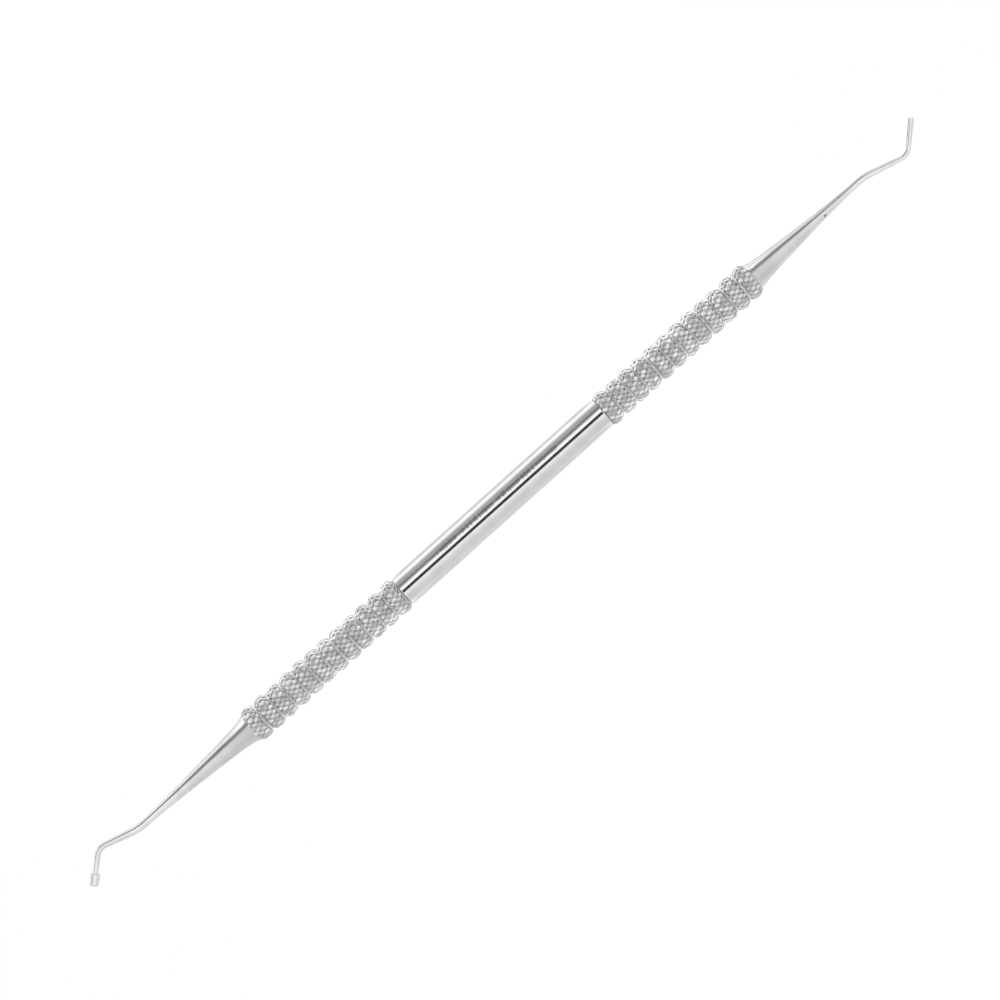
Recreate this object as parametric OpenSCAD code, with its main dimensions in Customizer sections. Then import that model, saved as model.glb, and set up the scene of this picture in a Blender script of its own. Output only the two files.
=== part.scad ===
// Double-ended amalgam condenser: one bar of stainless steel, turned and knurled in the middle,
// drawn out to a thin wire at both ends and bent twice at each, with a small flat nib to pack with.
// It lies on its knurling with the handle along X and both bends in the horizontal plane.
// The large nib is at -X and the small nib at +X. Millimetres, +Z up.

/* [Handle] */
// Diameter over the knurled beads
grip_d = 6.0; // [5.4:0.1:10]
// Diameter of the polished middle
middle_d = 5.2; // [4.8:0.1:5.9]
// Length between the two grips
middle_l = 41; // [20:1:80]
// Length of the cone that leads from the last bead down to the shank
collar_l = 1.26; // [0.5:0.02:4]

/* [Grips] */
// Number of beads on each grip
beads = 12; // [4:1:15]
// Distance from one bead to the next
bead_pitch = 2.58; // [1.8:0.02:4]
// Width of the groove between two beads
groove_w = 0.45; // [0.2:0.05:0.9]
// Depth of that groove below the knurl's tips
groove_depth = 0.65; // [0.4:0.05:1]
// Height of a bead's straight side above the groove's floor
bead_side = 0.2; // [0.1:0.05:0.3]
// Gap between the polished middle and the first bead at the large end
large_gap = 0.4; // [0.1:0.05:1.5]
// Gap between the polished middle and the first bead at the small end
small_gap = 0.1; // [0.05:0.05:1.5]

/* [Knurl] */
// Studs round the handle
studs = 20; // [12:1:22]
// Depth of the knurl from tip to pit
knurl_depth = 0.3; // [0.1:0.02:0.4]
// Drop of a bead's outer rows below its middle row
crown = 0.08; // [0.04:0.01:0.15]

/* [Shanks] */
// Diameter where a shank leaves the handle
base_d = 4.3; // [3.6:0.1:4.6]
// Length of the quick flare at the handle
flare_l = 4.5; // [2:0.1:8]
// Diameter at the end of the flare
flare_d = 3.1; // [2.4:0.1:3.5]

/* [Large end] */
// Length of the taper from the handle to the wire
large_taper_l = 20.2; // [14:0.1:30]
// Diameter of the wire as far as the second bend's leg
large_wire_d = 1.3; // [0.9:0.05:1.8]
// Straight wire before the first bend
large_run_l = 0.5; // [0.5:0.1:8]
// Angle of the first bend, away from the handle's axis
large_bend = 16.1; // [8:0.1:24]
// Straight leg between the two bends
large_leg_l = 4.4; // [2:0.1:9]
// Diameter of the wire at the second bend
large_elbow_d = 1.0; // [0.6:0.05:1.2]
// Angle of the second bend, back across the axis
large_turn = 57.6; // [40:0.1:80]
// Straight wire from the second bend to the nib
large_reach_l = 2.7; // [1:0.05:6]
// Diameter of the neck at the nib
large_neck_d = 0.9; // [0.5:0.05:1.1]
// Length of the nib
large_nib_l = 1.95; // [1:0.05:4]
// Diameter of the nib at its shoulder
large_shoulder_d = 1.62; // [1.2:0.02:3]
// Diameter of the nib at its working face
large_face_d = 1.42; // [1:0.02:2.6]
// Rounding of the large nib's working edge
large_edge_r = 0.32; // [0.05:0.01:0.4]

/* [Small end] */
// Length of the taper from the handle to the wire
small_taper_l = 19.2; // [14:0.1:30]
// Diameter of the wire as far as the second bend's leg
small_wire_d = 1.0; // [0.7:0.05:1.6]
// Straight wire before the first bend
small_run_l = 1.3; // [0.5:0.1:8]
// Angle of the first bend, away from the handle's axis
small_bend = 15.6; // [8:0.1:24]
// Straight leg between the two bends
small_leg_l = 5.1; // [2:0.1:9]
// Diameter of the wire at the second bend
small_elbow_d = 0.78; // [0.4:0.02:0.9]
// Angle of the second bend, back across the axis
small_turn = 58.8; // [40:0.1:80]
// Length of the nib from the second bend to its working face
small_nib_l = 4.5; // [2:0.05:8]
// Diameter of the nib at its working face
small_face_d = 0.86; // [0.4:0.02:1.6]
// Rounding of the small nib's working edge
small_edge_r = 0.06; // [0.02:0.01:0.12]

/* [Bend tools] */
// Radius of the first bends, at the wire's middle
bend_r = 9; // [4:0.5:20]
// Radius of the second bends, at the wire's middle
turn_r = 2.2; // [1.4:0.1:5]

/* [Hidden] */

// Facets of the round stock
$fn = 96;
// Rows of studs in one pitch of the beads, with the row that is lost to the groove
rows_per_pitch = 4;
// Points along a flare, a taper and a rounded edge
flare_steps = 8;
taper_steps = 12;
edge_steps = 6;
// Share of a taper's length that runs as a cone before it eases into the wire
cone_share = 0.78;
// Share of a flare's length at which its curve turns
flare_share = 0.45;
// Rounding of the large nib's shoulder
shoulder_edge_r = 0.1;
// Each straight stretch of wire is let into what it meets, a hair slimmer all round
let_in = 0.1;
slimmer = 0.01;

crown_r = grip_d / 2;
row_r = crown_r - crown;
groove_d = grip_d - 2 * groove_depth;
side_r = groove_d / 2 + bead_side;

bead_w = bead_pitch - groove_w;
row_step = bead_pitch / rows_per_pitch;
grip_l = beads * bead_pitch;
last_bead_x = middle_l / 2 + grip_l - groove_w / 2;
// The collar grows out of the last bead's face, just inside its rim
collar_r = side_r - 2 * slimmer;

// Two tips of a bead's middle row touch the surface side by side
rest_z = max(crown_r * cos(180 / studs), row_r);

// Reach of an end past the handle: out along both bends to the nib's face, then its rim
function reach(straight_l, bend, leg_l, turn, nib_l, face_d, edge_r) =
    let (lean = turn - bend)
    straight_l + bend_r * sin(bend) + leg_l * cos(bend) + turn_r * (sin(bend) + sin(lean))
    + nib_l * cos(lean) + face_d / 2 * sin(lean) - edge_r * (cos(lean) + sin(lean) - 1);

large_reach = reach(large_taper_l + large_run_l, large_bend, large_leg_l, large_turn,
                    large_reach_l + large_nib_l, large_face_d, large_edge_r);
small_reach = reach(small_taper_l + small_run_l, small_bend, small_leg_l, small_turn,
                    small_nib_l, small_face_d, small_edge_r);
centre_x = (large_reach - small_reach) / 2;

// Points of a smooth curve from a to c that leaves and arrives in line with b
function curve(a, b, c, steps) =
    [for (i = [0 : steps]) let (t = i / steps) pow(1 - t, 2) * a + 2 * t * (1 - t) * b + t * t * c];

// Points of an arc, with its angles in degrees
function arc(centre, r, from, to) =
    [for (i = [0 : edge_steps])
        let (a = from + (to - from) * i / edge_steps) centre + r * [cos(a), sin(a)]];

// Rings of one bead along X: place, radius at its tips, radius at its pits
bead_rings = [
    [-bead_w / 2, side_r, side_r],
    [-row_step, row_r, row_r - knurl_depth],
    [0, crown_r, crown_r - knurl_depth],
    [row_step, row_r, row_r - knurl_depth],
    [bead_w / 2, side_r, side_r],
];
spokes = 2 * studs;

// In the rings with an even number a stud stands on each odd spoke, and in the others on each even one
function is_tip(ring, spoke) = (ring + spoke) % 2 == 1;

function bead_point(ring, spoke) =
    let (a = -90 + spoke * 180 / studs,
         r = bead_rings[ring][is_tip(ring, spoke) ? 1 : 2])
    [bead_rings[ring][0], r * cos(a), r * sin(a)];

// One field of the knurl, folded along the line between its two pits
function bead_field(ring, spoke) =
    let (next = (spoke + 1) % spokes,
         a = ring * spokes + spoke,
         b = ring * spokes + next,
         c = (ring + 1) * spokes + next,
         d = (ring + 1) * spokes + spoke)
    is_tip(ring, spoke) ? [[a, d, b], [b, d, c]] : [[a, c, b], [a, d, c]];

// A knurled bead: staggered rows of four-sided studs round the handle
module bead() {
    last = len(bead_rings) - 1;
    points = [for (ring = [0 : last], spoke = [0 : spokes - 1]) bead_point(ring, spoke)];
    fields = [for (ring = [0 : last - 1], spoke = [0 : spokes - 1])
        each bead_field(ring, spoke)];
    start_face = [for (spoke = [0 : spokes - 1]) spoke];
    end_face = [for (spoke = [spokes - 1 : -1 : 0]) last * spokes + spoke];
    polyhedron(points, concat([start_face], fields, [end_face]));
}

// The beads of one grip, out from the polished middle along +X
module grip() {
    for (i = [0 : beads - 1])
        translate([middle_l / 2 + (i + 0.5) * bead_pitch, 0, 0]) bead();
}

// Round bar along X between two places
module bar(from, to, d) {
    translate([from, 0, 0]) rotate([0, 90, 0]) cylinder(h = to - from, d = d);
}

// Polished middle, the grooves' floor under both grips, and the beads
module handle() {
    bar(-last_bead_x, last_bead_x, groove_d);
    bar(-middle_l / 2 - groove_w / 2 + large_gap, middle_l / 2 + groove_w / 2 - small_gap, middle_d);
    grip();
    mirror([1, 0, 0]) grip();
}

// Collar, flare, taper and straight wire in one turned profile, from the last bead along +X
module shank(taper_l, run_l, wire_d) {
    wire_r = wire_d / 2 - slimmer;
    end_x = taper_l + run_l;
    cone_x = flare_l + cone_share * (taper_l - flare_l);
    flare_x = flare_share * flare_l;
    cone_slope = (flare_d / 2 - wire_r) / (cone_x - flare_l);
    flare = curve([base_d / 2, 0], [flare_d / 2 + cone_slope * (flare_l - flare_x), flare_x],
                  [flare_d / 2, flare_l], flare_steps);
    taper = curve([flare_d / 2, flare_l], [wire_r, cone_x], [wire_r, taper_l], taper_steps);
    outline = concat([[0, -collar_l], [collar_r, -collar_l]],
                     flare,
                     [for (i = [1 : taper_steps]) taper[i]],
                     [[wire_r, end_x + let_in], [0, end_x + let_in]]);
    translate([collar_l, 0, 0]) rotate([0, 90, 0]) rotate_extrude() polygon(outline);
    translate([collar_l + end_x, 0, 0]) children();
}

// Straight wire along +X, let in at both ends, with what follows at its end
module run(l, d1, d2) {
    r1 = d1 / 2 - slimmer;
    r2 = d2 / 2 - slimmer;
    rotate([0, 90, 0]) rotate_extrude()
        polygon([[0, -let_in], [r1, -let_in], [r1, 0], [r2, l], [r2, l + let_in], [0, l + let_in]]);
    translate([l, 0, 0]) children();
}

// Wire of one diameter bent in the plane, towards +Y where the angle is positive
module bent(r, angle, d) {
    side = sign(angle);
    translate([0, side * r, 0]) {
        rotate([0, 0, side > 0 ? -90 : 90 + angle])
            rotate_extrude(angle = abs(angle)) translate([r, 0]) circle(d = d);
        rotate([0, 0, angle]) translate([0, -side * r, 0]) children();
    }
}

// Head of the large nib: a plug with a shoulder, drawn in to a flat face with a rounded edge
module large_nib() {
    shoulder = arc([large_shoulder_d / 2 - shoulder_edge_r, shoulder_edge_r], shoulder_edge_r, -90, 0);
    rim = arc([large_face_d / 2 - large_edge_r, large_nib_l - large_edge_r], large_edge_r, 0, 90);
    rotate([0, 90, 0]) rotate_extrude()
        polygon(concat([[0, 0]], shoulder, rim, [[0, large_nib_l]]));
}

// The small nib: the wire itself, a little wider at its flat face
module small_nib() {
    root_r = small_elbow_d / 2 - slimmer;
    rim = arc([small_face_d / 2 - small_edge_r, small_nib_l - small_edge_r], small_edge_r, 0, 90);
    rotate([0, 90, 0]) rotate_extrude()
        polygon(concat([[0, -let_in], [root_r, -let_in], [root_r, 0]], rim, [[0, small_nib_l]]));
}

module large_end() {
    shank(large_taper_l, large_run_l, large_wire_d)
        bent(bend_r, -large_bend, large_wire_d)
        run(large_leg_l, large_wire_d, large_elbow_d)
        bent(turn_r, large_turn, large_elbow_d)
        run(large_reach_l, large_elbow_d, large_neck_d)
        large_nib();
}

module small_end() {
    shank(small_taper_l, small_run_l, small_wire_d)
        bent(bend_r, -small_bend, small_wire_d)
        run(small_leg_l, small_wire_d, small_elbow_d)
        bent(turn_r, small_turn, small_elbow_d)
        small_nib();
}

// The whole instrument is one piece of steel
module condenser() {
    color("silver") translate([centre_x, 0, rest_z]) {
        handle();
        translate([last_bead_x, 0, 0]) small_end();
        rotate([0, 0, 180]) translate([last_bead_x, 0, 0]) large_end();
    }
}

condenser();
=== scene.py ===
"""Looks of a double-ended amalgam condenser: a knurled steel handle with a bent, tapered wire at each end.

The instrument is one bar of steel, so all its skins ride on the one body and stand for its one solid.
They are worked out in millimetres round the middle of the handle, and moved to the frame's own place.
"""

import logging
import math
from collections.abc import Sequence
from dataclasses import dataclass, field
from enum import Enum
from typing import Protocol

import bpy
import numpy as np
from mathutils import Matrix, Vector

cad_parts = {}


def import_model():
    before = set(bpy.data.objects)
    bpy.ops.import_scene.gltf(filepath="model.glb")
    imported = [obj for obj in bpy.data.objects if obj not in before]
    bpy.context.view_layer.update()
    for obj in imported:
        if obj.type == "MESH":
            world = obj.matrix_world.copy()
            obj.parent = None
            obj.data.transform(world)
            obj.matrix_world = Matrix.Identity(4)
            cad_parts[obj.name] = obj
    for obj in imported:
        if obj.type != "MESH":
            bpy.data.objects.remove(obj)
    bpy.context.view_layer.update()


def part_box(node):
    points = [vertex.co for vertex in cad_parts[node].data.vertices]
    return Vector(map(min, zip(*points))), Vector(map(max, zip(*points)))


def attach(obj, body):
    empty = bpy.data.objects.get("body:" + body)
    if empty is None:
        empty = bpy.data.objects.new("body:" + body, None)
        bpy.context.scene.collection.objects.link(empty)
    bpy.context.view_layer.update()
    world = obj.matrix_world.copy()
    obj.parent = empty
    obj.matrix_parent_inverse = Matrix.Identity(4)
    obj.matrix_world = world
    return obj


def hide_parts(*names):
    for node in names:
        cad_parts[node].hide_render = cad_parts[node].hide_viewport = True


LOG = logging.getLogger("condenser")

MM = 0.001
BODY = "root"
NODE = "condenser"
SHADE = "shade"

# Millimetres between two rings that keep a turned edge crisp.
CREASE = 0.01

# A place along the bar and the radius there, or a place on a ramp and the grey or share there.
Point = tuple[float, float]


class Side(Enum):
    """An end of the handle, with the heading in degrees that its shank leaves it at."""

    LARGE = 180.0
    SMALL = 0.0

    @property
    def sign(self) -> int:
        """Which way along X this end lies, as -1 or 1."""
        return -1 if self is Side.LARGE else 1

    @property
    def label(self) -> str:
        """Plain name of the end, for the names of pieces."""
        return self.name.lower()


@dataclass
class Skin:
    """A closed mesh in millimetres, round the middle of the handle.

    Attributes:
        name: Name of the piece that it becomes.
        points: Corners, as an array of rows of x, y and z.
        faces: Corner numbers of each face.
        shade: How each corner lies in the knurl, or None for a plain skin: 0 on top of a stud, 1 in the
        pit between four, and -1 on a groove's turned floor. The knurled finish paints shade into the
        pits and grooves from it.
    """

    name: str
    points: np.ndarray
    faces: list[tuple[int, ...]]
    shade: np.ndarray | None = None

    @classmethod
    def from_rings(cls, name: str, rings: np.ndarray, shade: np.ndarray | None = None) -> "Skin":
        """Joins rings of points into one closed tube with a flat fan on both ends.

        Args:
            name: Name of the piece.
            rings: Array of rings by points by x, y and z, all turning the same way.
            shade: How each point lies in the knurl, for a knurled skin.

        Returns:
            The closed skin, with its faces outward for rings that turn left round their own way on.
        """
        count, around = rings.shape[:2]
        first = np.arange(count - 1)[:, None] * around
        here = np.arange(around)[None, :]
        there = (here + 1) % around
        a, b = first + here, first + there
        walls = np.stack([a, b, b + around, a + around], axis=-1).reshape(-1, 4)
        start, end = count * around, count * around + 1
        last = (count - 1) * around
        ring = [(i, (i + 1) % around) for i in range(around)]
        caps = [(start, j, i) for i, j in ring] + [(end, last + i, last + j) for i, j in ring]
        middles = np.stack([rings[0].mean(axis=0), rings[-1].mean(axis=0)])
        points = np.concatenate([rings.reshape(-1, 3), middles])
        if shade is not None:
            shade = np.append(shade.ravel(), [-1.0, -1.0])
        return cls(name, points, [tuple(w) for w in walls.tolist()] + caps, shade)

    def reach(self) -> tuple[np.ndarray, np.ndarray]:
        """Lowest and highest corner in millimetres."""
        return self.points.min(axis=0), self.points.max(axis=0)

    def to_object(self, shift: Vector, material: bpy.types.Material) -> bpy.types.Object:
        """Makes the Blender object, smooth shaded and in metres.

        Args:
            shift: Place of the handle's middle in the frame, in metres.
            material: Finish of the whole skin.

        Returns:
            The object, linked to the scene, which stands for the solid and rides on its body.
        """
        mesh = bpy.data.meshes.new(self.name)
        mesh.from_pydata((self.points * MM + np.array(shift)).tolist(), [], self.faces)
        mesh.polygons.foreach_set("use_smooth", [True] * len(mesh.polygons))
        mesh.materials.append(material)
        if self.shade is not None:
            mesh.attributes.new(SHADE, "FLOAT", "POINT").data.foreach_set("value", self.shade)
        mesh.update()
        piece = bpy.data.objects.new(self.name, mesh)
        bpy.context.collection.objects.link(piece)
        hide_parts(NODE)
        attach(piece, BODY)
        return piece


def curve(start: Point, aim: Point, end: Point, steps: int) -> list[Point]:
    """Points of a smooth curve in a turned profile.

    Args:
        start: First point, as place along the bar and radius.
        aim: Point that the curve is in line with as it leaves its start and as it reaches its end.
        end: Last point.
        steps: How many stretches the curve is cut into.

    Returns:
        The points after the start, up to and with the end.
    """
    first, middle, last = (np.array(point) for point in (start, aim, end))
    shares = [i / steps for i in range(1, steps + 1)]
    return [tuple((1 - t) ** 2 * first + 2 * t * (1 - t) * middle + t * t * last) for t in shares]


def rounding(along: float, radius: float, bend: float, start: float, end: float,
             steps: int = 8) -> list[Point]:
    """Points of a rounded edge in a turned profile.

    Args:
        along: Place along the bar of the rounding's centre.
        radius: Distance of that centre from the bar's axis.
        bend: Radius of the rounding.
        start: First angle in degrees, where 0 points along the bar and 90 away from its axis.
        end: Last angle in degrees.
        steps: How many stretches the rounding is cut into.

    Returns:
        The points, as place along the bar and radius.
    """
    angles = [math.radians(start + (end - start) * i / steps) for i in range(steps + 1)]
    return [(along + bend * math.cos(a), radius + bend * math.sin(a)) for a in angles]


@dataclass
class BarPath:
    """Follows the middle of the bar in the plane of its bends and collects its rings.

    Attributes:
        x: Place of the bar's middle along the handle, in millimetres.
        y: Place across it.
        heading: Angle that the bar runs at, in degrees from +X towards +Y.
        around: Points on each ring.
        rings: The rings so far.
    """

    x: float
    y: float
    heading: float
    around: int = 96
    rings: list[np.ndarray] = field(default_factory=list)

    def ring(self, radius: float, ahead: float = 0.0) -> None:
        """Adds one ring square to the bar.

        Args:
            radius: Radius of the ring.
            ahead: Distance along the heading from the path's present place.
        """
        turn = np.radians(np.arange(self.around) * 360 / self.around)
        way = math.radians(self.heading)
        across = radius * np.cos(turn)
        self.rings.append(np.stack([
            self.x + ahead * math.cos(way) - across * math.sin(way),
            self.y + ahead * math.sin(way) + across * math.cos(way),
            radius * np.sin(turn),
        ], axis=-1))

    def straight(self, length: float, profile: Sequence[Point]) -> None:
        """Runs straight on, with a ring at each point of a turned profile.

        Args:
            length: Length of this stretch.
            profile: Places along this stretch and radii.
        """
        for ahead, radius in profile:
            self.ring(radius, ahead)
        way = math.radians(self.heading)
        self.x += length * math.cos(way)
        self.y += length * math.sin(way)

    def taper(self, length: float, start: float, end: float, steps: int, short: float = 0.0) -> None:
        """Runs straight on with an even taper, without a ring at its start.

        Args:
            length: Length of this stretch.
            start: Diameter that it starts from.
            end: Diameter at its end.
            steps: Rings in the stretch.
            short: How far before the stretch's end the last ring lies.
        """
        shares = [i / steps * (1 - short / length) for i in range(1, steps + 1)]
        self.straight(length, [(length * share, (start + (end - start) * share) / 2) for share in shares])

    def bend(self, radius: float, angle: float, thickness: float, steps: int = 24) -> None:
        """Bends the bar at one thickness.

        Args:
            radius: Radius of the bend at the bar's middle.
            angle: Angle of the bend in degrees, positive to the left.
            thickness: Diameter of the bar.
            steps: Rings in the bend.
        """
        side = math.copysign(1.0, angle)
        for _ in range(steps):
            before = math.radians(self.heading)
            self.heading += angle / steps
            after = math.radians(self.heading)
            self.x += side * radius * (math.sin(after) - math.sin(before))
            self.y += side * radius * (math.cos(before) - math.cos(after))
            self.ring(thickness / 2)

    def skin(self, name: str) -> Skin:
        """Closes the rings so far into one skin of that name."""
        return Skin.from_rings(name, np.stack(self.rings))


def scatter(first: np.ndarray, second: np.ndarray) -> np.ndarray:
    """Gives each pair of whole numbers a share that looks random and is the same in each run.

    Args:
        first: First number of each pair.
        second: Second number of each pair.

    Returns:
        The shares, from 0 up to 1.
    """
    first_step, second_step, gain = 12.9898, 78.233, 43758.5453
    return np.modf(np.abs(np.sin(first * first_step + second * second_step)) * gain)[0]


@dataclass
class Knurl:
    """Staggered rows of domed, four-sided studs round the handle.

    Attributes:
        studs: Studs in one row.
        depth: Depth from a stud's tip to the pit between four.
        fullness: Power that squares the studs' outline. 1 is a diamond's own sharp corners.
        wear: How much lower the most worn studs are than the others.
        dimming: How much of a pit's shade the most worn studs have.
        steps: Facets that each stud is cut into round the handle.
    """

    studs: int = 20
    depth: float = 0.3
    fullness: float = 2.2
    wear: float = 0.06
    dimming: float = 0.5
    steps: int = 8

    @property
    def around(self) -> int:
        """Points on each ring of the knurl."""
        return self.studs * self.steps

    def cut(self, rows: np.ndarray) -> tuple[np.ndarray, np.ndarray]:
        """How deep the surface lies below the studs' full height.

        Args:
            rows: Places of rings along the handle, counted in rows from a row of studs.

        Returns:
            The depth in millimetres and the shade, from 0 on a top that is left bright to 1 in a pit that
            gets the darkest painted shade, both with a row for each ring and a column for each point round
            it, from straight down.
        """
        along = rows[:, None] / 2
        turns = np.arange(self.around)[None, :] / self.steps + 0.5
        rise, fall = turns + along, turns - along
        p, q = (2 * np.abs(v - np.round(v)) for v in (rise, fall))
        spread = ((p ** self.fullness + q ** self.fullness) / 2) ** (2 / self.fullness)
        stud_round = (np.round(rise) + np.round(fall)) % (2 * self.studs)
        stud_along = np.round(rise) - np.round(fall)
        top = scatter(stud_round, stud_along) * (1 - spread)
        return self.depth * spread + self.wear * top, spread + self.dimming * top


@dataclass
class RunOut:
    """How the last bead's knurl runs out over the collar.

    Attributes:
        length: How far it reaches past the bead.
        rise: Height that a stud's top starts with, over where the knurl ends.
        cut: Share of the knurl's own depth that it starts with.
        sink: How far under the collar's skin it ends.
        start: Share of its length where its first ring lies.
        rings: How many rings it has.
    """

    length: float = 0.5
    rise: float = 0.12
    cut: float = 0.5
    sink: float = 0.03
    start: float = 0.1
    rings: int = 8


@dataclass
class Ring:
    """One ring of a grip's skin, with a value for each point round the handle.

    Attributes:
        along: Distances from the handle's middle, in millimetres.
        radii: Distances from the handle's axis.
        shade: How the points lie in the knurl, as in a skin.
    """

    along: np.ndarray
    radii: np.ndarray
    shade: np.ndarray


@dataclass
class Handle:
    """The polished middle and the two grips of knurled beads.

    Attributes:
        grip: Diameter over the knurled beads.
        middle: Diameter of the polished middle.
        middle_length: Length between the two grips.
        middle_edge: Rounding of the polished middle's two edges.
        middle_sink: How far under the grooves' floor the polished middle's end faces start.
        gaps: Gap between the polished middle and the first bead, at each side.
        collar: Length of the cone from the last bead down to the shank.
        collar_inset: How far inside a bead's straight side the collar starts.
        base: Diameter where a shank leaves the handle.
        beads: Beads on each grip.
        pitch: Distance from one bead to the next.
        groove: Width of the groove between two beads.
        groove_depth: Depth of the groove below the tips.
        wall: Steps from a bead's face down to a groove's floor: distance from the face, height over the
            floor, and shade, which the knurled finish turns into painted shade on the wall and floor.
        wall_dimming: How much of a pit's painted shade runs down the wall below it.
        bead_side: Height of a bead's straight side above the groove's floor.
        crown: Drop of a bead's face a quarter of the pitch from its middle.
        shoulder: Length of a bead's rounded shoulder.
        pit_floor: Least height of a pit over the grooves' floor.
        rows_per_pitch: Rows of studs in one pitch of the beads. The grooves were cut through the knurl, so
            its rows run on past them and lie differently on each bead.
        first_row: Where the first bead's middle lies in the knurl, counted in rows, for each side.
        scallop: How far a pit's shade moves a bead's face.
        level_shade: Shade that stays level with the bead's face. Tops stand over it and pits draw back.
        lap: How far a skin starts inside the one before it.
        knurl: The knurl on the beads.
        run_out: How it runs out over the collars.
    """

    grip: float = 6.0
    middle: float = 5.2
    middle_length: float = 41.0
    middle_edge: float = 0.06
    middle_sink: float = 0.1
    gaps: dict[Side, float] = field(default_factory=lambda: {Side.LARGE: 0.4, Side.SMALL: 0.1})
    collar: float = 1.26
    collar_inset: float = 0.02
    base: float = 4.3
    beads: int = 12
    pitch: float = 2.58
    groove: float = 0.45
    groove_depth: float = 0.65
    wall: tuple[tuple[float, float, float], ...] = (
        (0.0, 0.17, 0.2), (0.05, 0.10, 0.15), (0.10, 0.04, 0.1), (0.16, 0.0, -1.0))
    wall_dimming: float = 0.8
    bead_side: float = 0.2
    crown: float = 0.08
    shoulder: float = 0.5
    pit_floor: float = 0.04
    rows_per_pitch: float = 3.46
    first_row: dict[Side, float] = field(default_factory=lambda: {Side.LARGE: 0.6, Side.SMALL: 0.0})
    scallop: float = 0.25
    level_shade: float = 0.65
    lap: float = 0.3
    knurl: Knurl = field(default_factory=Knurl)
    run_out: RunOut = field(default_factory=RunOut)

    @property
    def floor_radius(self) -> float:
        """Radius at the floor of the grooves."""
        return self.grip / 2 - self.groove_depth

    @property
    def bead_half(self) -> float:
        """Distance from a bead's middle to its face."""
        return (self.pitch - self.groove) / 2

    @property
    def last_bead_end(self) -> float:
        """Distance from the handle's middle to the outer face of the last bead."""
        return self.middle_length / 2 + self.beads * self.pitch - self.groove / 2

    @property
    def rest_height(self) -> float:
        """Height of the handle's axis over the surface, on two studs side by side."""
        return self.grip / 2 * math.cos(math.pi / self.knurl.studs)

    def collar_radius(self, share: float) -> float:
        """Radius of the collar at a share of its length from the last bead."""
        start = self.floor_radius + self.bead_side - self.collar_inset
        return start + (self.base / 2 - start) * share

    def collar_profile(self) -> list[Point]:
        """Turned profile of the collar.

        Returns:
            Places from the last bead's end and radii, from inside the bead to just before the shank.
        """
        inside = [(-self.lap, self.floor_radius), (-CREASE, self.collar_radius(0.0))]
        return inside + [(self.collar * share, self.collar_radius(share)) for share in (0.0, 0.25, 0.5, 0.75)]

    def middle_skin(self) -> Skin:
        """Builds the polished middle, a plain cylinder with a broken edge at both ends.

        Returns:
            The skin, with its rings closest together near both ends.
        """
        start, end = sorted(side.sign * (self.middle_length / 2 + self.groove / 2 - gap)
                            for side, gap in self.gaps.items())
        length, radius, edge = end - start, self.middle / 2, self.middle_edge
        inner = self.floor_radius - self.middle_sink
        near_end, stretches, edge_steps = (0.002, 0.01), 40, 4
        shares = [*near_end, *(i / stretches for i in range(1, stretches))]
        shares += [1 - share for share in reversed(near_end)]
        path = BarPath(start, 0.0, Side.SMALL.value, around=self.knurl.around)
        path.straight(length, [
            (0.0, inner),
            *rounding(edge, radius - edge, edge, 180, 90, edge_steps),
            *((edge + (length - 2 * edge) * share, radius) for share in shares),
            *rounding(length - edge, radius - edge, edge, 90, 0, edge_steps),
            (length, inner),
        ])
        return path.skin("handle_middle")

    def bead_places(self) -> np.ndarray:
        """Places of a bead's rings.

        Returns:
            Distances from the bead's middle, close together over its shoulders.
        """
        crown_rings, shoulder_angles = 7, (18, 36, 52, 66, 78, 90)
        crown_end = self.bead_half - self.shoulder
        crown = np.linspace(0, crown_end, crown_rings)
        one_side = np.append(crown, crown_end + self.shoulder * np.sin(np.radians(shoulder_angles)))
        return np.append(-one_side[:0:-1], one_side)

    def over_shoulder(self, places: np.ndarray) -> np.ndarray:
        """How far over a bead's shoulder each place lies, from 0 at its crown to 1 at its face."""
        return np.clip((np.abs(places) - self.bead_half + self.shoulder) / self.shoulder, 0, 1)

    def knurl_at(self, places: np.ndarray, number: int, side: Side) -> tuple[np.ndarray, np.ndarray]:
        """The knurl's cut and shade over one bead.

        Args:
            places: Places of the rings from the bead's middle.
            number: Which bead it is, counted from the handle's middle.
            side: Which grip the bead is on.

        Returns:
            The depth of the cut and the shade, with a row for each ring and a column for each point round it.
        """
        return self.knurl.cut((places / self.pitch + number) * self.rows_per_pitch + self.first_row[side])

    def bead_face(self, places: np.ndarray, number: int, side: Side) -> tuple[np.ndarray, np.ndarray]:
        """Radii and shade of one bead.

        Args:
            places: Places of its rings from its middle.
            number: Which bead it is, counted from the handle's middle.
            side: Which grip it is on.

        Returns:
            The radii and the shade, with a row for each ring and a column for each point round it.
        """
        side_radius = self.floor_radius + self.bead_side
        crest = self.grip / 2 - self.crown * (places / (self.pitch / 4)) ** 2
        envelope = side_radius + (crest - side_radius) * np.sqrt(1 - self.over_shoulder(places) ** 2)
        cut, shade = self.knurl_at(places, number, side)
        return np.maximum(envelope[:, None] - cut, self.floor_radius + self.pit_floor), shade

    def scalloped(self, places: np.ndarray, shade: np.ndarray) -> np.ndarray:
        """Lets the studs bulge over a bead's two faces, and the pits draw back from them.

        Args:
            places: Places of the bead's rings from its middle.
            shade: Shade of each point, with a row for each ring.

        Returns:
            The place of each point from the bead's middle.
        """
        outward = (np.sign(places) * self.over_shoulder(places) ** 3)[:, None]
        return places[:, None] + outward * self.scallop * (self.level_shade - shade)

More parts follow.
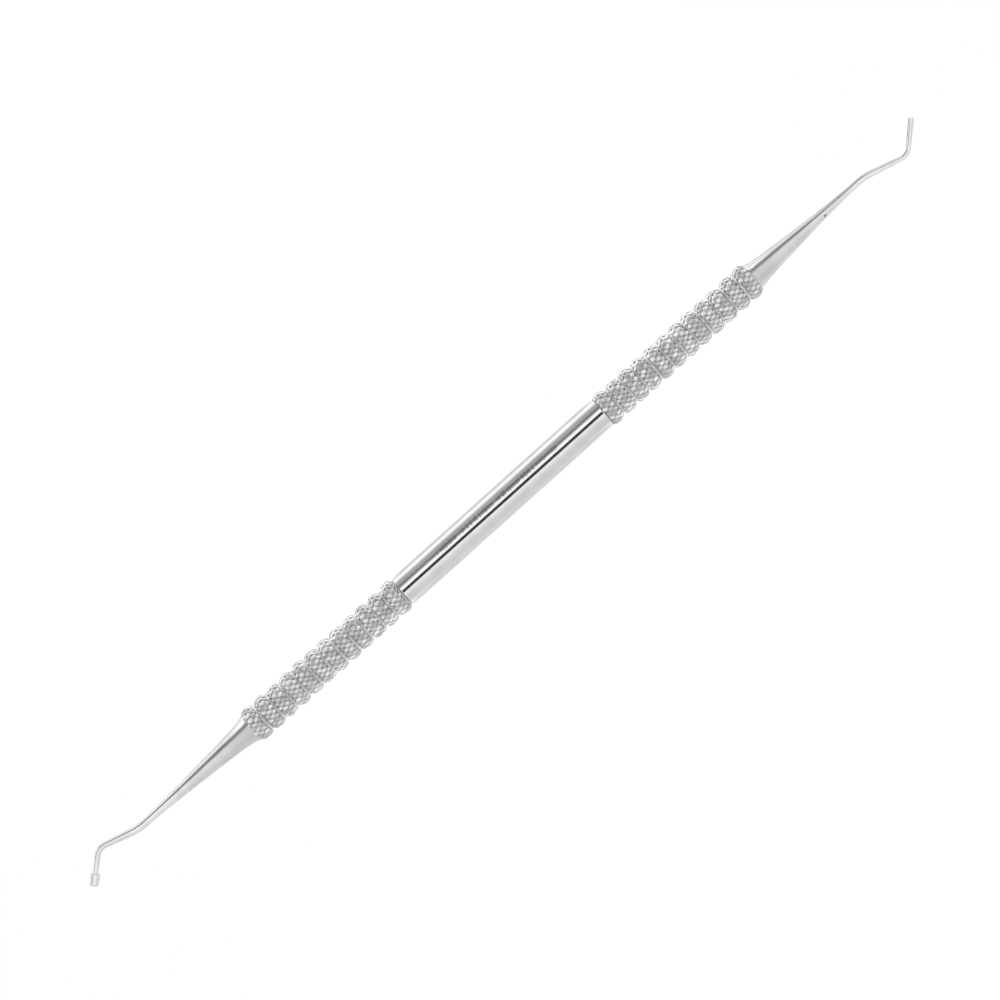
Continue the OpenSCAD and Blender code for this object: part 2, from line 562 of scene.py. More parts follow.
    def groove_wall(self, at: float, way: int, radii: np.ndarray, shade: np.ndarray) -> list[Ring]:
        """Rings from a bead's face down to the floor of the groove beside it.

        Args:
            at: Distance of the face from the handle's middle.
            way: Which side of the bead it is on, -1 towards the handle's middle or 1 away from it.
            radii: Radii of the bead's ring at that face.
            shade: Shade of that ring.

        Returns:
            The rings, in order away from the handle's middle.
        """
        # The walls' shades, with a share of the pit's shade above each wall, become painted shade in the
        # knurled finish.
        rings = [Ring(np.full_like(radii, at + way * ahead), np.minimum(self.floor_radius + rise, radii),
                      dark + (dark > 0) * self.wall_dimming * shade ** 2) for ahead, rise, dark in self.wall]
        return rings[::way]

    def run_out_rings(self, side: Side) -> list[Ring]:
        """Rings of the knurl that runs out over the collar.

        Args:
            side: Which grip's collar it is.

        Returns:
            The rings, from the last bead on.
        """
        shares = np.linspace(self.run_out.start, 1.0, self.run_out.rings)
        places = shares * self.run_out.length
        cut, shade = self.knurl_at(self.bead_half + places, self.beads - 1, side)
        cone = self.collar_radius(places / self.collar)
        left = 1 - shares[:, None]
        radii = cone[:, None] - self.run_out.sink + left * (self.run_out.rise - self.run_out.cut * cut)
        return [Ring(np.full_like(ring, self.last_bead_end + place), ring, dark)
                for place, ring, dark in zip(places, radii, shade, strict=True)]

    def bead_rings(self, number: int, side: Side) -> list[Ring]:
        """Rings of one bead and of the half grooves beside it, or of the run-out past the last bead.

        Args:
            number: Which bead it is, counted from the handle's middle.
            side: Which grip it is on.

        Returns:
            The rings, in order away from the handle's middle.
        """
        centre = self.middle_length / 2 + (number + 0.5) * self.pitch
        places = self.bead_places()
        radii, shade = self.bead_face(places, number, side)
        along = centre + self.scalloped(places, shade)
        rings = self.groove_wall(centre + places[0], -1, radii[0], shade[0])
        rings += [Ring(*values) for values in zip(along, radii, shade, strict=True)]
        if number == self.beads - 1:
            return rings + self.run_out_rings(side)
        return rings + self.groove_wall(centre + places[-1], 1, radii[-1], shade[-1])

    def grip_skin(self, side: Side) -> Skin:
        """Builds one grip: its beads with the grooves between them.

        Args:
            side: Which end of the handle it is on.

        Returns:
            The skin, from inside the polished middle to the end of the knurl's run-out.
        """
        around = self.knurl.around
        start = (self.middle_length / 2 - self.lap, self.floor_radius, -1.0)
        rings = [Ring(*(np.full(around, value) for value in start))]
        for number in range(self.beads):
            rings += self.bead_rings(number, side)
        along, radii, shade = (np.stack([getattr(ring, part) for ring in rings])
                               for part in ("along", "radii", "shade"))
        turn = np.radians(np.arange(around) * 360 / around - 90)
        height = np.maximum(radii * np.sin(turn), -self.rest_height)
        corners = np.stack([side.sign * along, radii * np.cos(turn), height], axis=-1)
        if side is Side.LARGE:
            corners, shade = corners[::-1], shade[::-1]
        return Skin.from_rings(f"{side.label}_side_grip", corners, shade)


@dataclass
class Nib:
    """The working nib at the end of the wire, turned round the wire's axis.

    Attributes:
        length: Length of the nib.
        root: Diameter of the neck that it grows from.
        shoulder: Diameter at its shoulder, or of its root where it has none.
        face: Diameter at its working face.
        edge: Rounding of the working edge.
        shoulder_edge: Rounding of the shoulder, or zero where it has none.
        side_steps: Stretches that its side is cut into.
        face_rings: Where its flat face has rings, as shares of the flat's radius.
    """

    length: float
    root: float
    shoulder: float
    face: float
    edge: float
    shoulder_edge: float = 0.0
    side_steps: int = 12
    face_rings: tuple[float, ...] = (0.9, 0.5, 0.1)

    @property
    def fillet(self) -> float:
        """Radius of the hollow where the neck meets the shoulder."""
        return self.shoulder_edge / 2

    def profile(self) -> list[Point]:
        """Turned profile of the nib.

        Returns:
            Places along the nib and radii, from its root to the middle of its face.
        """
        points: list[Point] = []
        if self.shoulder_edge:
            points += rounding(-self.fillet, self.root / 2 + self.fillet, self.fillet, 270, 360)
            points += rounding(self.shoulder_edge, self.shoulder / 2 - self.shoulder_edge,
                               self.shoulder_edge, 180, 90)
        flat, flat_start = self.face / 2 - self.edge, self.length - self.edge
        side_start = np.array(points[-1] if points else (0.0, self.shoulder / 2))
        side_end = np.array((flat_start, self.face / 2))
        points += [tuple(side_start + (side_end - side_start) * i / self.side_steps)
                   for i in range(1, self.side_steps)]
        points += rounding(flat_start, flat, self.edge, 90, 0)
        points += [(self.length, flat * share) for share in self.face_rings]
        return points


@dataclass
class WorkingEnd:
    """One end of the instrument: shank, straight wire, two bends and the nib.

    Attributes:
        side: Which end it is.
        taper: Length from the handle to the end of the taper.
        wire: Diameter of the wire as far as the second bend's leg.
        run: Straight wire before the first bend.
        bend: Angle of the first bend.
        leg: Straight stretch between the bends.
        elbow: Diameter at the second bend.
        turn: Angle of the second bend.
        reach: Straight wire from the second bend to the nib.
        nib: The nib.
        flare: Length of the quick flare at the handle.
        flare_end: Diameter at the end of the flare.
        flare_share: Share of the flare's length at which its steep start would meet the cone.
        cone_share: Share of the taper that runs as a cone before it eases into the wire.
        bend_radius: Radius of the first bend.
        turn_radius: Radius of the second bend.
        flare_steps: Stretches that the flare is cut into.
        taper_steps: Stretches that the rest of the taper is cut into.
        leg_steps: Stretches that the leg is cut into.
        reach_steps: Stretches that the reach is cut into.
    """

    side: Side
    taper: float
    wire: float
    run: float
    bend: float
    leg: float
    elbow: float
    turn: float
    reach: float
    nib: Nib
    flare: float = 4.5
    flare_end: float = 3.1
    flare_share: float = 0.45
    cone_share: float = 0.78
    bend_radius: float = 9.0
    turn_radius: float = 2.2
    flare_steps: int = 16
    taper_steps: int = 40
    leg_steps: int = 12
    reach_steps: int = 8

    def shank_profile(self, base_diameter: float) -> list[Point]:
        """Turned profile of the shank.

        Args:
            base_diameter: Diameter where it leaves the handle.

        Returns:
            Places along the shank and radii, from its base to the end of its straight wire.
        """
        cone_end = self.flare + self.cone_share * (self.taper - self.flare)
        slope = (self.flare_end - self.wire) / 2 / (cone_end - self.flare)
        base = (0.0, base_diameter / 2)
        hip = (self.flare, self.flare_end / 2)
        tip = (self.taper, self.wire / 2)
        meeting = self.flare_share * self.flare
        points = [base]
        points += curve(base, (meeting, hip[1] + slope * (self.flare - meeting)), hip, self.flare_steps)
        points += curve(hip, (cone_end, tip[1]), tip, self.taper_steps)
        points += [(self.taper + self.run, tip[1])]
        return points

    def skin(self, handle: Handle) -> Skin:
        """Builds the whole end as one skin.

        Args:
            handle: The handle that it grows from, for the collar's shape and place.

        Returns:
            The skin, from inside the last bead to the nib's face.
        """
        path = BarPath(self.side.sign * handle.last_bead_end, 0.0, self.side.value)
        path.straight(handle.collar, handle.collar_profile())
        path.straight(self.taper + self.run, self.shank_profile(handle.base))
        path.bend(self.bend_radius, -self.bend, self.wire)
        path.taper(self.leg, self.wire, self.elbow, self.leg_steps)
        path.bend(self.turn_radius, self.turn, self.elbow)
        if self.reach:
            path.taper(self.reach, self.elbow, self.nib.root, self.reach_steps,
                       short=self.nib.fillet + CREASE)
        path.straight(self.nib.length, self.nib.profile())
        return path.skin(f"{self.side.label}_end")


def centred(stops: Sequence[Point], span: float, full: float = 1.0) -> list[Point]:
    """Brings stops from a span with zero in its middle to a ramp's 0 to 1, with the full value as 1."""
    return [(place / span + 0.5, value / full) for place, value in stops]


class Nodes:
    """Builds a node tree with few words."""

    def __init__(self, tree: bpy.types.NodeTree) -> None:
        """Empties the tree and keeps it."""
        self.tree = tree
        self.tree.nodes.clear()

    def add(self, kind: str, **values: object) -> bpy.types.Node:
        """Adds a node.

        Args:
            kind: Its type, without the words ShaderNode.
            **values: Attributes of the node, or values of its inputs by their name with _ for a space.

        Returns:
            The node.
        """
        node = self.tree.nodes.new("ShaderNode" + kind)
        for name, value in values.items():
            if hasattr(node, name):
                setattr(node, name, value)
            else:
                self.feed(node, name.replace("_", " "), value)
        return node

    def feed(self, node: bpy.types.Node, socket: str | int, value: object) -> None:
        """Links an output to a socket, or sets the socket's own value.

        Args:
            node: The node that has the socket.
            socket: Name or number of the input.
            value: A socket or node to link from, or a plain value.
        """
        target = node.inputs[socket]
        if isinstance(value, bpy.types.Node):
            value = value.outputs[0]
        if isinstance(value, bpy.types.NodeSocket):
            self.tree.links.new(value, target)
        else:
            target.default_value = value

    def math(self, operation: str, *values: object) -> bpy.types.Node:
        """Adds a sum or other operation.

        Args:
            operation: Blender's name of the operation.
            *values: Up to three values, sockets or nodes that it works on.

        Returns:
            The node that gives the result.
        """
        node = self.add("Math", operation=operation)
        for place, value in enumerate(values):
            self.feed(node, place, value)
        return node

    def span(self, noise: object, low: float, high: float) -> bpy.types.Node:
        """Spreads a noise's usual values over a range.

        Args:
            noise: The noise's node.
            low: Value for its low end.
            high: Value for its high end.

        Returns:
            The node that gives the value.
        """
        node = self.add("MapRange", From_Min=0.3, From_Max=0.7, To_Min=low, To_Max=high)
        self.feed(node, 0, noise)
        return node

    def ramp(self, factor: object, stops: Sequence[Point]) -> bpy.types.Node:
        """Adds a ramp of greys that runs straight from stop to stop.

        Args:
            factor: What drives it, from 0 to 1.
            stops: Places and greys.

        Returns:
            The ramp's node.
        """
        node = self.add("ValToRGB")
        self.feed(node, 0, factor)
        elements = node.color_ramp.elements
        while len(elements) < len(stops):
            elements.new(0.5)
        for element, (place, grey) in zip(elements, sorted(stops), strict=True):
            element.position = place
            element.color = (grey, grey, grey, 1)
        return node

    def from_middle(self, value: object, span: float) -> bpy.types.Node:
        """Brings a value from a span with zero in its middle to a ramp's 0 to 1."""
        return self.math("MULTIPLY_ADD", value, 1 / span, 0.5)

    def blend(self, share: object, low: object, high: object) -> bpy.types.Node:
        """Runs from one value to another as a share goes from 0 to 1."""
        return self.math("MULTIPLY_ADD", share, self.math("SUBTRACT", high, low), low)

    def lean(self, across: object, up: object) -> bpy.types.Node:
        """Angle round the handle of a point or direction, in degrees from the top towards -Y."""
        return self.math("DEGREES", self.math("ARCTAN2", self.math("MULTIPLY", across, -1.0), up))

    def camera_only(self, grey: float) -> bpy.types.Node:
        """Gives the stage a grey that only the camera sees, and 0 to all else."""
        return self.math("MULTIPLY", self.add("LightPath").outputs["Is Camera Ray"], grey)


@dataclass
class Surface:
    """The steel's surface while its nodes are built.

    Attributes:
        nodes: The tree that they are built in.
        place: Place on the object in millimetres.
        parts: The same, split into X, Y and Z.
        rise: Height over the handle's axis in millimetres.
        marks: Noise of the polishing marks.
        colour: Grey of the steel so far.
        roughness: Its roughness so far.
    """

    nodes: Nodes
    place: bpy.types.Node
    parts: bpy.types.Node
    rise: bpy.types.Node
    marks: bpy.types.Node
    colour: bpy.types.Node
    roughness: bpy.types.Node

    def tint(self, factor: bpy.types.Node) -> None:
        """Makes the steel brighter or darker by a factor."""
        self.colour = self.nodes.math("MULTIPLY", self.colour, factor)


class Trim(Protocol):
    """A detail that a finish adds to the plain steel."""

    def dress(self, surface: Surface) -> None:
        """Changes the surface's colour and roughness where the detail is."""


@dataclass(frozen=True)
class WirePolish:
    """Brighter steel along the wires, which are polished most.

    Attributes:
        start: Distance from the handle's middle where it starts, in millimetres.
        full: Distance where it is all there.
        gain: How much brighter the steel gets.
        span: Distance that its ramp covers.
    """

    start: float
    full: float
    gain: float
    span: float = 100.0

    def dress(self, surface: Surface) -> None:
        """Brightens the wires.

        Args:
            surface: The surface to change.
        """
        nodes = surface.nodes
        away = nodes.math("DIVIDE", nodes.math("ABSOLUTE", surface.parts.outputs["X"]), self.span)
        share = nodes.ramp(away, [(self.start / self.span, 0.0), (self.full / self.span, 1.0)])
        surface.tint(nodes.math("MULTIPLY_ADD", share, self.gain, 1.0))


@dataclass(frozen=True)
class KnurlShading:
    """Painted shade: darker steel towards the knurl's pits and on the grooves' walls and floors, and duller
    steel there.

    Attributes:
        painted_shade: Shades of the knurl, and the share of the steel's grey that is left there. This is
            painted shade,
        darkest in the pits and on the grooves' floors, and it also dims the studs that are worn at random.
        dull: Shades of the knurl, and the roughness that is added there.
        mottle: Least and greatest share of the grey that the fine marks leave.
        span: Whole span of the shades, with a stud's bright top in its middle.
    """

    painted_shade: tuple[Point, ...]
    dull: tuple[Point, ...]
    mottle: tuple[float, float]
    span: float = 2.0

    def dress(self, surface: Surface) -> None:
        """Paints shade into the knurl's pits and grooves, and dulls them.

        Args:
            surface: The surface to change.
        """
        nodes = surface.nodes
        shade = nodes.from_middle(nodes.add("Attribute", attribute_name=SHADE).outputs["Fac"], self.span)
        # Painted shade: the steel's grey is cut towards the pits and on the grooves' floors.
        painted_shade = nodes.ramp(shade, centred(self.painted_shade, self.span))
        surface.tint(nodes.math("MULTIPLY", painted_shade, nodes.span(surface.marks, *self.mottle)))
        dull = nodes.ramp(shade, centred(self.dull, self.span))
        surface.roughness = nodes.math("ADD", surface.roughness, dull)


@dataclass(frozen=True)
class Speck:
    """A small dark speck.

    Attributes:
        place: Its place in millimetres.
        core: Radius that is all dark.
        edge: Radius where it has faded out.
        grey: Share of the steel's grey that is left in the core.
    """

    place: tuple[float, float, float]
    core: float
    edge: float
    grey: float

    def dress(self, surface: Surface) -> None:
        """Darkens the steel round the speck's place.

        Args:
            surface: The surface to change.
        """
        nodes = surface.nodes
        off = nodes.add("VectorMath", operation="DISTANCE")
        nodes.feed(off, 0, surface.place)
        nodes.feed(off, 1, self.place)
        surface.tint(nodes.ramp(off.outputs["Value"], [(self.core, self.grey), (self.edge, 1.0)]))


@dataclass(frozen=True)
class Etching:
    """A row of plain strokes etched along the top of the polished middle.

    Attributes:
        start: Where the row starts along X, in millimetres.
        end: Where it ends.
        step: Distance from one stroke to the next.
        share: Width of a stroke, as a share of that step.
        left_out: Share of the strokes that are left out.
        lean: Angle of the row's middle round the handle, in degrees from the top towards -Y.
        reach: Half height of the shortest strokes, in degrees.
        spread: How much taller the tallest are.
        darkening: Share of the steel's grey that a stroke takes.
        roughening: How much rougher a stroke is than the steel.
    """

    start: float
    end: float
    step: float
    share: float
    left_out: float
    lean: float
    reach: float
    spread: float
    darkening: float
    roughening: float

    def mask(self, nodes: Nodes, along: object, lean: object) -> bpy.types.Node:
        """Says where the strokes are.

        Args:
            nodes: The tree to build in.
            along: Place along X in millimetres.
            lean: Angle round the handle in degrees.

        Returns:
            A node that gives 1 on the strokes and 0 elsewhere.
        """
        count = nodes.math("DIVIDE", along, self.step)
        dice = nodes.add("TexWhiteNoise", noise_dimensions="1D")
        nodes.feed(dice, "W", nodes.math("FLOOR", count))
        roll = dice.outputs["Value"]
        tall = nodes.math("MULTIPLY_ADD", roll, self.spread, self.reach)
        off = nodes.math("ABSOLUTE", nodes.math("SUBTRACT", lean, self.lean))
        mask = nodes.math("LESS_THAN", nodes.math("FRACT", count), self.share)
        for test in (
            nodes.math("GREATER_THAN", roll, self.left_out),
            nodes.math("LESS_THAN", off, tall),
            nodes.math("GREATER_THAN", along, self.start),
            nodes.math("LESS_THAN", along, self.end),
        ):
            mask = nodes.math("MULTIPLY", mask, test)
        return mask

    def dress(self, surface: Surface) -> None:
        """Darkens and roughens the strokes.

        Args:
            surface: The surface to change.
        """
        nodes = surface.nodes
        lean = nodes.lean(surface.parts.outputs["Y"], surface.rise)
        mask = self.mask(nodes, surface.parts.outputs["X"], lean)
        surface.tint(nodes.math("MULTIPLY_ADD", mask, -self.darkening, 1.0))
        surface.roughness = nodes.math("MULTIPLY_ADD", mask, self.roughening, surface.roughness)


@dataclass(frozen=True)
class Steel:
    """Finish of the bare steel, polished or satin.

    Attributes:
        name: Name of the material.
        dark: Grey of its dullest patches.
        bright: Grey of its brightest ones.
        smooth: Roughness where it is best polished.
        dull: Roughness where it is least.
        drag: Stretch of the polishing marks along X, Y and Z, in marks for each millimetre.
        lines: Height of the polishing marks in millimetres.
        waviness: Height of the slow unevenness in millimetres.
        patches: Slow patches in each millimetre.
        trims: Details that it adds to the plain steel, in order.
    """

    name: str
    dark: float
    bright: float
    smooth: float
    dull: float
    drag: tuple[float, float, float]
    lines: float
    waviness: float
    patches: float = 0.35
    trims: tuple[Trim, ...] = ()

    def make(self, axis_height: float) -> bpy.types.Material:
        """Builds the material.

        Args:
            axis_height: Height of the handle's axis over the ground, in metres.

        Returns:
            The finished material, which reads only the object's own coordinates.
        """
        material = bpy.data.materials.new(self.name)
        material.use_nodes = True
        nodes = Nodes(material.node_tree)
        place = nodes.add("VectorMath", operation="SCALE")
        nodes.feed(place, 0, nodes.add("TexCoord").outputs["Object"])
        nodes.feed(place, "Scale", 1 / MM)
        parts = nodes.add("SeparateXYZ")
        nodes.feed(parts, 0, place)
        rise = nodes.math("SUBTRACT", parts.outputs["Z"], axis_height / MM)
        dragged = nodes.add("Mapping", Scale=self.drag)
        nodes.feed(dragged, 0, place)
        marks = nodes.add("TexNoise", Scale=1.0, Detail=3.0, Roughness=0.6)
        nodes.feed(marks, "Vector", dragged)
        patches = nodes.add("TexNoise", Scale=self.patches, Detail=2.0)
        nodes.feed(patches, "Vector", place)
        surface = Surface(nodes, place, parts, rise, marks, nodes.span(patches, self.dark, self.bright),
                          nodes.span(marks, self.dull, self.smooth))
        for trim in self.trims:
            trim.dress(surface)
        uneven = nodes.add("Bump", Strength=1.0, Distance=self.waviness * MM)
        nodes.feed(uneven, "Height", patches)
        marked = nodes.add("Bump", Strength=1.0, Distance=self.lines * MM)
        nodes.feed(marked, "Height", marks)
        nodes.feed(marked, "Normal", uneven)
        shader = nodes.add("BsdfPrincipled", Metallic=1.0)
        nodes.feed(shader, "Base Color", surface.colour)
        nodes.feed(shader, "Roughness", surface.roughness)
        nodes.feed(shader, "Normal", marked)
        nodes.feed(nodes.add("OutputMaterial"), "Surface", shader)
        return material


POLISHED = Steel(
    name="polished_steel", dark=0.55, bright=0.61, smooth=0.06, dull=0.13, drag=(0.5, 9.0, 9.0),
    lines=0.0006, waviness=0.004,
    trims=(Etching(start=-12.5, end=11.7, step=0.36, share=0.55, left_out=0.15, lean=-19.0, reach=4.5,
                   spread=5.0, darkening=0.6, roughening=0.2),))
DRAWN = Steel(
    name="drawn_steel", dark=0.54, bright=0.62, smooth=0.10, dull=0.20, drag=(0.4, 8.0, 8.0),
    lines=0.0010, waviness=0.006,
    trims=(WirePolish(start=61.0, full=70.0, gain=0.17),
           Speck(place=(65.8, -0.4, 3.6), core=0.12, edge=0.3, grey=0.25)))
KNURLED = Steel(
    name="knurled_steel", dark=0.75, bright=1.0, smooth=0.12, dull=0.26, drag=(2.6, 2.6, 2.6),
    lines=0.0400, waviness=0.010, patches=0.9,
    trims=(KnurlShading(
        # Painted shade: pits (1) and grooves' floors (-1) keep less of the grey than the studs' tops (0).
        painted_shade=((-1, 0.66), (-0.4, 0.82), (0, 1.0), (0.24, 0.9), (0.48, 0.57), (1, 0.31)),
        dull=((-1, 0.4), (-0.4, 0.1), (0, 0.0), (1, 0.3)),
        mottle=(0.80, 1.10)),))


@dataclass
class Studio:
    """Pale floor, soft light from all round, and the camera.

    The light comes from a white room with long cards in it. Bands of them are given as angles in degrees
    from overhead towards -Y, and greys. Where the light changes along the handle, the places are the share
    of a direction that runs along it, from 0 straight across to 1 end on. On the floor, places are
    millimetres along X or Y from its middle, and the camera's plain white counts as 1.

    Attributes:
        pixels_per_mm: Scale of the view at the handle's axis.
        frame_pixels: Width of the square view.
        lens: Focal length of the camera.
        sensor: Width of its sensor.
        tilt: Angle of the handle in the view, in degrees above level.
        origin_at: Pixel where the frame's origin shows.
        white: Strength of the room's white.
        handle_bands: What is seen in the handle, straight across it.
        shank_bands: What is seen from the slopes of the shanks.
        stud_bands: What is seen from the steeper slopes of the studs.
        across: Share of the handle's bands in what is seen, along the handle.
        steep: Share of the studs' bands, along the handle.
        end_on: Least grey that is seen, along the handle.
        floor_half: Half the floor's side, in metres.
        floor_along: Millimetres along X that the floor's ramps cover.
        floor_across: Millimetres along Y that they cover.
        floor_below: Brightness of the floor close by the bar towards -Y, along X.
        floor_above: The same towards +Y. Past 66 mm it dims as a painted shadow of the small end's wire, seen
            in the steel.
        floor_turn: Share of the second of these, along Y.
        floor_far: Least brightness of the floor further off, along Y.
        far_share: Share of it that is left, along X, which also dims past 66 mm as a painted shadow of the
            small end's wire.
        floor_most: Greatest brightness of all the floor, along X.
    """

    pixels_per_mm: float = 6.55
    frame_pixels: int = 1000
    lens: float = 85.0
    sensor: float = 36.0
    tilt: float = 41.93
    origin_at: tuple[float, float] = (502.19, 502.16)
    white: float = 1.8
    handle_bands: tuple[Point, ...] = (
        (-180, 0.90), (-97, 0.90), (-90, 0.84), (-81, 0.58), (-74, 0.40), (-68, 0.35), (-58, 0.35),
        (-52, 0.31), (-46, 0.18), (-36, 0.18), (-31, 0.37), (-26, 0.74), (-22, 0.94), (-9, 0.94),
        (-6.5, 0.025), (10.5, 0.025), (14, 0.82), (22, 0.78), (32, 0.68), (45, 0.60), (60, 0.57),
        (100, 0.57), (180, 0.57))
    shank_bands: tuple[Point, ...] = (
        (-180, 0.95), (-110, 0.95), (-92, 0.88), (-80, 0.58), (-69, 0.29), (-61, 0.15), (-48, 0.15),
        (-38, 0.32), (-29, 0.52), (-17, 0.72), (0, 0.73), (14, 0.66), (35, 0.63), (60, 0.58), (100, 0.55),
        (180, 0.54))
    stud_bands: tuple[Point, ...] = (
        (-180, 1.0), (-92, 1.0), (-80, 1.0), (-69, 0.80), (-61, 0.34), (-48, 0.14), (-38, 0.27),
        (-29, 0.44), (-17, 0.58), (14, 0.57), (35, 0.54), (60, 0.50), (100, 0.50), (180, 0.52))
    across: tuple[Point, ...] = ((0.10, 1.0), (0.14, 0.0))
    steep: tuple[Point, ...] = ((0.28, 0.0), (0.42, 1.0))
    end_on: tuple[Point, ...] = ((0.86, 0.0), (0.96, 0.66), (0.975, 0.66), (0.985, 0.45))
    floor_half: float = 4.0
    floor_along: float = 200.0
    floor_across: float = 60.0
    floor_below: tuple[Point, ...] = (
        (-61, 1.0), (-58, 0.88), (-49, 1.38), (-22, 1.38), (-19, 1.09), (19, 1.09), (22, 1.38), (49, 1.38),
        (56, 1.08))
    # Past 66 mm the glow dims: a painted shadow of the small end's wire, seen only in the steel.
    floor_above: tuple[Point, ...] = (
        (-56, 1.0), (-49, 1.6), (-22, 1.6), (-19, 1.0), (19, 1.0), (22, 1.8), (49, 1.8), (56, 1.0), (66, 1.0),
        (71, 0.35))
    floor_turn: tuple[Point, ...] = ((-1.2, 0.0), (1.2, 1.0))
    floor_far: tuple[Point, ...] = ((6.6, 0.0), (9.6, 1.3), (13.5, 1.584), (30, 1.71))
    # Past 66 mm the far floor dims too, as the same painted shadow of the small end's wire.
    far_share: tuple[Point, ...] = ((66, 1.0), (72, 0.4))
    floor_most: tuple[Point, ...] = ((-52, 1.5), (-46, 1.8), (46, 1.8), (52, 1.5))

    def camera(self, axis_height: float) -> bpy.types.Object:
        """Sets up the camera, straight over the instrument.

        Args:
            axis_height: Height of the handle's axis, in metres.

        Returns:
            The camera.
        """
        data = bpy.data.cameras.new("camera")
        data.lens = self.lens
        data.sensor_width = self.sensor
        data.clip_start = 0.01
        turn = math.radians(self.tilt)
        right = Vector((math.cos(turn), -math.sin(turn), 0))
        up = Vector((math.sin(turn), math.cos(turn), 0))
        half = self.frame_pixels / 2
        metres = MM / self.pixels_per_mm
        off = right * (self.origin_at[0] - half) * metres + up * (half - self.origin_at[1]) * metres
        distance = self.frame_pixels * metres * self.lens / self.sensor
        camera = bpy.data.objects.new("camera", data)
        camera.location = Vector((0, 0, axis_height + distance)) - off
        camera.rotation_euler = (0, 0, -turn)
        bpy.context.collection.objects.link(camera)
        bpy.context.scene.camera = camera
        return camera

    def floor(self) -> bpy.types.Object:
        """Lays the pale floor.

        Returns:
            The floor.
        """
        corners = [(x * self.floor_half, y * self.floor_half, 0)
                   for x, y in ((-1, -1), (1, -1), (1, 1), (-1, 1))]
        mesh = bpy.data.meshes.new("floor")
        mesh.from_pydata(corners, [], [(0, 1, 2, 3)])
        mesh.materials.append(self.floor_finish())
        floor = bpy.data.objects.new("floor", mesh)
        bpy.context.collection.objects.link(floor)
        return floor

    def floor_finish(self) -> bpy.types.Material:
        """Builds the floor's finish, which glows a little so that it stays plain.

        Returns:
            The material. What the steel sees of it is brighter or darker in places than what the camera
            sees.
        """
        material = bpy.data.materials.new("floor")
        material.use_nodes = True
        nodes = Nodes(material.node_tree)
        parts = nodes.add("SeparateXYZ")
        nodes.feed(parts, 0, nodes.add("TexCoord").outputs["Object"])
        along = nodes.from_middle(parts.outputs["X"], self.floor_along * MM)
        across = nodes.from_middle(parts.outputs["Y"], self.floor_across * MM)
        below, above, most = (nodes.ramp(along, centred(stops, self.floor_along, self.white))
                              for stops in (self.floor_below, self.floor_above, self.floor_most))
        turn = nodes.ramp(across, centred(self.floor_turn, self.floor_across))
        far = nodes.ramp(across, centred(self.floor_far, self.floor_across, self.white))
        far_share = nodes.ramp(along, centred(self.far_share, self.floor_along))
        glow = nodes.math("MAXIMUM", nodes.blend(turn, below, above), nodes.math("MULTIPLY", far, far_share))
        glow = nodes.math("MINIMUM", glow, most)
        shader = nodes.add("Emission", Strength=self.white)
        nodes.feed(shader, "Color", nodes.math("MAXIMUM", glow, nodes.camera_only(1 / self.white)))
        nodes.feed(nodes.add("OutputMaterial"), "Surface", shader)
        return material

    def light(self) -> None:
        """Lights the room with bands along the handle. The camera itself sees it plain and bright."""
        world = bpy.data.worlds.new("room")
        bpy.context.scene.world = world
        world.use_nodes = True
        nodes = Nodes(world.node_tree)
        parts = nodes.add("SeparateXYZ")
        nodes.feed(parts, 0, nodes.add("TexCoord").outputs["Generated"])
        turn = nodes.from_middle(nodes.lean(parts.outputs["Y"], parts.outputs["Z"]), 360)
        over_handle, over_shanks, over_studs = (
            nodes.ramp(turn, centred(bands, 360))
            for bands in (self.handle_bands, self.shank_bands, self.stud_bands))
        along = nodes.math("ABSOLUTE", parts.outputs["X"])
        seen = nodes.blend(nodes.ramp(along, self.across), over_shanks, over_handle)
        seen = nodes.blend(nodes.ramp(along, self.steep), seen, over_studs)
        seen = nodes.math("MAXIMUM", seen, nodes.ramp(along, self.end_on))
        background = nodes.add("Background", Strength=self.white)
        nodes.feed(background, "Color", nodes.math("MAXIMUM", seen, nodes.camera_only(1 / self.white)))
        nodes.feed(nodes.add("OutputWorld"), "Surface", background)


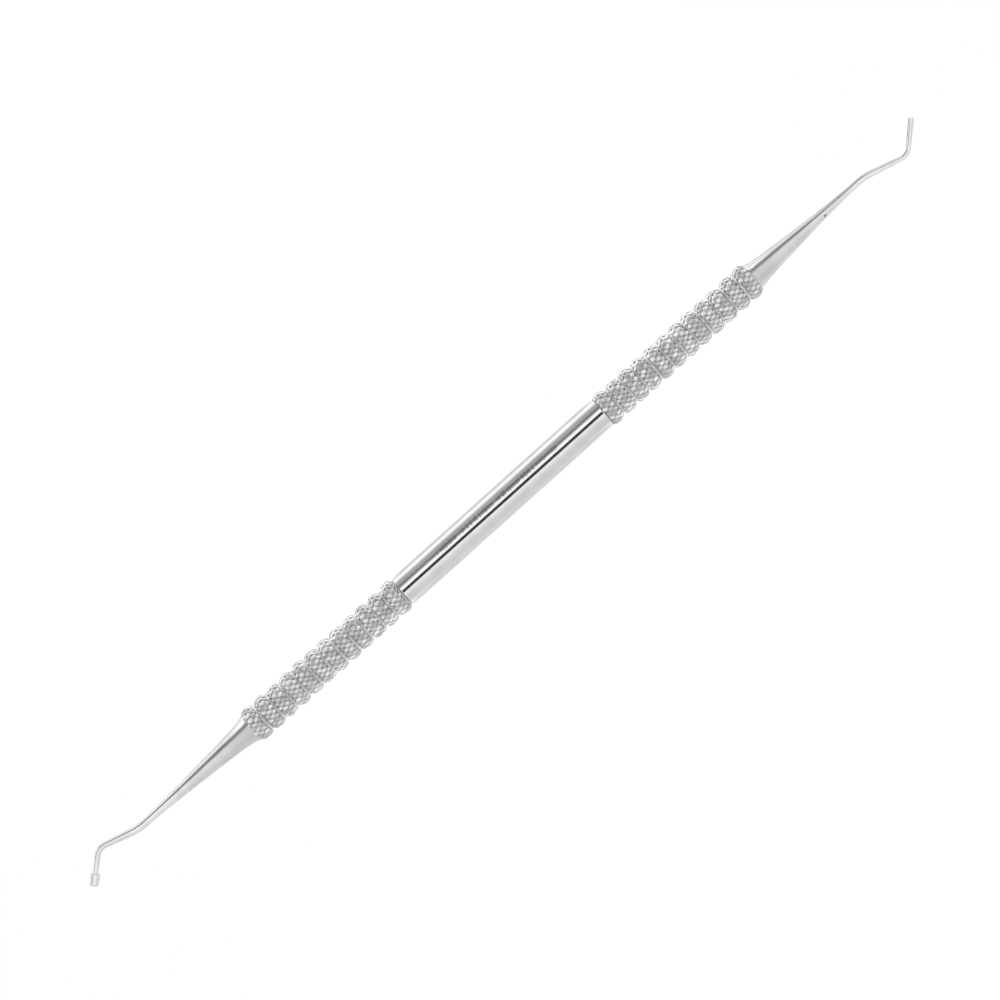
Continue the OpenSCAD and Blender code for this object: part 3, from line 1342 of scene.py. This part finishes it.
@dataclass
class Instrument:
    """The whole instrument, its skins and their finishes.

    Attributes:
        handle: The polished middle and the two grips.
        large: The end with the large nib.
        small: The end with the small nib.
    """

    handle: Handle = field(default_factory=Handle)
    large: WorkingEnd = field(default_factory=lambda: WorkingEnd(
        side=Side.LARGE, taper=20.2, wire=1.3, run=0.5, bend=16.1, leg=4.4, elbow=1.0, turn=57.6, reach=2.7,
        nib=Nib(length=1.95, root=0.9, shoulder=1.62, face=1.42, edge=0.32, shoulder_edge=0.1)))
    small: WorkingEnd = field(default_factory=lambda: WorkingEnd(
        side=Side.SMALL, taper=19.2, wire=1.0, run=1.3, bend=15.6, leg=5.1, elbow=0.78, turn=58.8, reach=0.0,
        nib=Nib(length=4.5, root=0.78, shoulder=0.78, face=0.86, edge=0.06)))

    def skins(self) -> list[tuple[Skin, Steel]]:
        """Builds the skins.

        Returns:
            Each skin with its finish.
        """
        return [
            (self.handle.middle_skin(), POLISHED),
            (self.handle.grip_skin(Side.LARGE), KNURLED),
            (self.handle.grip_skin(Side.SMALL), KNURLED),
            (self.large.skin(self.handle), DRAWN),
            (self.small.skin(self.handle), DRAWN),
        ]

    def build(self) -> list[bpy.types.Object]:
        """Builds the instrument in its solid's place.

        Returns:
            The pieces, each in its place in the frame.
        """
        skins = self.skins()
        low = np.min([skin.reach()[0] for skin, _ in skins], axis=0)
        high = np.max([skin.reach()[1] for skin, _ in skins], axis=0)
        box_low, box_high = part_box(NODE)
        shift = (Vector(box_low) + Vector(box_high)) / 2
        shift.x -= (low[0] + high[0]) / 2 * MM
        made = {finish: finish.make(shift.z) for finish in dict.fromkeys(finish for _, finish in skins)}
        return [skin.to_object(shift, made[finish]) for skin, finish in skins]


def main() -> None:
    """Builds the looks round the frame and reports each piece."""
    logging.basicConfig(level=logging.INFO, format="%(name)s: %(message)s")
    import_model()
    studio = Studio()
    studio.camera(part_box(NODE)[1][2] / 2)
    studio.floor()
    studio.light()
    for piece in Instrument().build():
        LOG.info("%s: %d corners, %d faces", piece.name, len(piece.data.vertices), len(piece.data.polygons))
    bpy.context.scene.view_settings.view_transform = "Standard"


if __name__ == "__main__":
    main()
